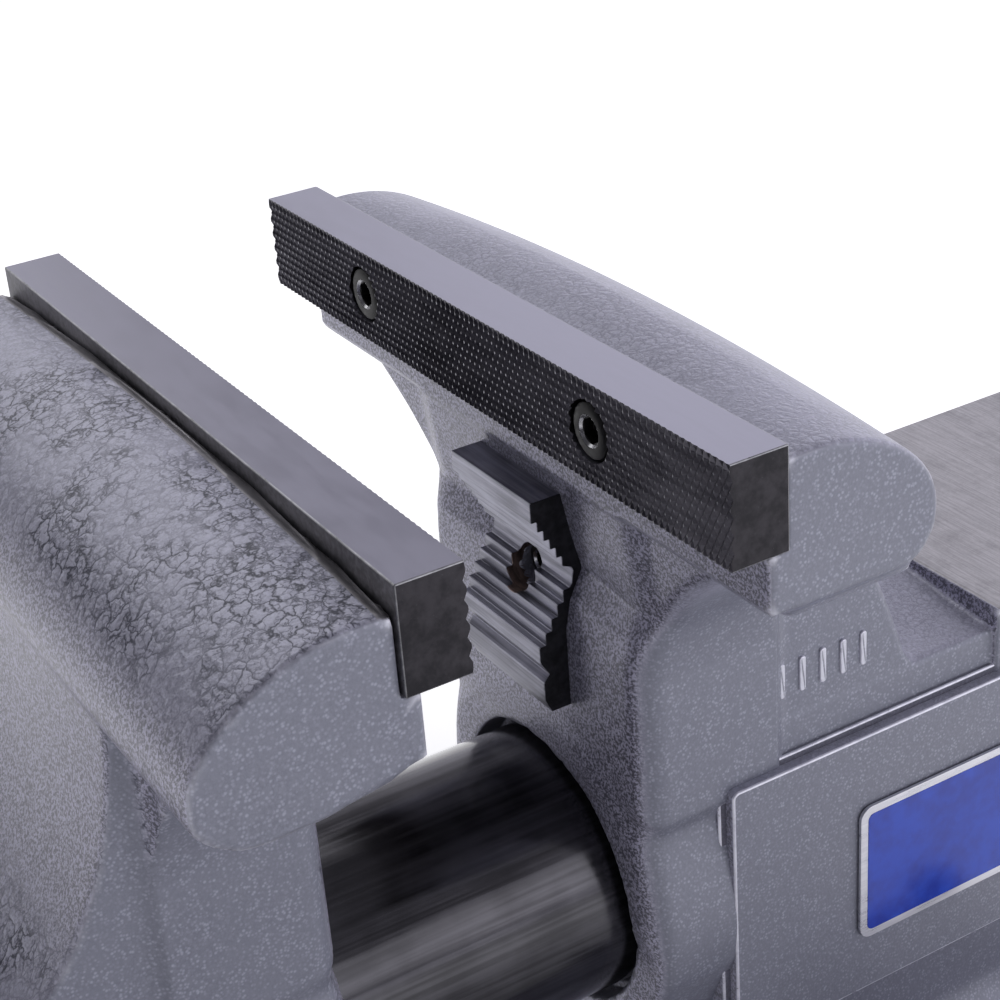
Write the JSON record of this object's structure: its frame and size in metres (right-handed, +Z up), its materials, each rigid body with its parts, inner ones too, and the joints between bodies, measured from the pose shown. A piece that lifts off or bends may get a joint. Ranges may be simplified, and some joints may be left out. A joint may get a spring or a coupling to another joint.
{
  "type": "bench vise",
  "caption": "Bench vise with a round slide bar, serrated jaw inserts, pipe jaws below them, an anvil, a cross handle and a lockable swivel base.",
  "frame": {"origin": "centre of the swivel base's bench face, on the swivel axis", "axes": "+Z up from the bench, +Y from the handle end to the anvil along the slide bar, X across the jaws"},
  "size_m": [0.2652, 0.4115, 0.254],
  "materials": {
    "hammered_paint": "hammered silver-grey enamel",
    "black_oxide": "black oxide, worn at the edges",
    "screw_black": "black socket screw",
    "pipe_jaw_steel": "bare machined steel",
    "bar_black": "polished black steel",
    "plain_steel": "satin zinc",
    "bronze": "machined bronze",
    "nut_iron": "machined cast iron",
    "label_blue": "blue printed plate with a white border"
  },
  "bodies": {
    "base": {"swivel_base": "hammered_paint"},
    "fixed_jaw": {"static_jaw_body": "hammered_paint", "static_jaw_insert": "black_oxide", "static_insert_screw_left": "screw_black", "static_insert_screw_right": "screw_black", "static_pipe_jaw": "pipe_jaw_steel", "static_pipe_jaw_screw": "screw_black", "spindle_nut": "nut_iron", "nut_bolt": "screw_black", "nameplate_left": "label_blue", "nameplate_right": "label_blue", "lock_bolt_left": "screw_black", "lock_bolt_right": "screw_black", "lock_washer_left": "plain_steel", "lock_washer_right": "plain_steel"},
    "moving_jaw": {"moving_jaw_body": "hammered_paint", "moving_jaw_insert": "black_oxide", "moving_insert_screw_left": "screw_black", "moving_insert_screw_right": "screw_black", "moving_pipe_jaw": "pipe_jaw_steel", "moving_pipe_jaw_screw": "screw_black", "slide_bar": "bar_black", "slide_bar_pin_1": "plain_steel", "slide_bar_pin_2": "plain_steel", "slide_bar_end_cap": "screw_black"},
    "spindle": {"spindle": "plain_steel", "spindle_thrust_washer": "bronze", "spindle_collar": "plain_steel", "spindle_collar_pin": "plain_steel"},
    "handle": {"handle_bar": "plain_steel", "handle_knob_left": "plain_steel", "handle_knob_right": "plain_steel"},
    "lock_nut_left": {"lock_nut_left": "plain_steel"},
    "lock_bar_left": {"lock_bar_left": "plain_steel", "lock_bar_knob_left_rear": "plain_steel", "lock_bar_knob_left_front": "plain_steel"},
    "lock_nut_right": {"lock_nut_right": "plain_steel"},
    "lock_bar_right": {"lock_bar_right": "plain_steel", "lock_bar_knob_right_rear": "plain_steel", "lock_bar_knob_right_front": "plain_steel"}
  },
  "joints": [
    {"name": "base_swivel", "type": "hinge", "parent": "base", "child": "fixed_jaw", "pos_m": [0, 0, 0.03], "axis": [0, 0, 1], "continuous": true},
    {"name": "jaw_slide", "type": "slide", "parent": "fixed_jaw", "child": "moving_jaw", "axis": [0, -1, 0], "range_m": [-0.04763, 0.11747]},
    {"name": "spindle_turn", "type": "hinge", "parent": "moving_jaw", "child": "spindle", "pos_m": [0, -0.235, 0.1232], "axis": [0, -1, 0], "continuous": true},
    {"name": "handle_slide", "type": "slide", "parent": "spindle", "child": "handle", "axis": [1, 0, 0], "range_m": [-0.09, 0.09]},
    {"name": "lock_left_turn", "type": "hinge", "parent": "fixed_jaw", "child": "lock_nut_left", "pos_m": [-0.08, 0, 0.06], "axis": [0, 0, 1], "range_deg": [-30, 30]},
    {"name": "lock_left_bar_slide", "type": "slide", "parent": "lock_nut_left", "child": "lock_bar_left", "axis": [0, 1, 0], "range_m": [-0.018, 0.018]},
    {"name": "lock_right_turn", "type": "hinge", "parent": "fixed_jaw", "child": "lock_nut_right", "pos_m": [0.08, 0, 0.06], "axis": [0, 0, 1], "range_deg": [-30, 30]},
    {"name": "lock_right_bar_slide", "type": "slide", "parent": "lock_nut_right", "child": "lock_bar_right", "axis": [0, 1, 0], "range_m": [-0.018, 0.018]}
  ],
  "couplings": [
    {"joint": "spindle_turn", "follows": "jaw_slide", "rad_per_m": 989.48}
  ]
}
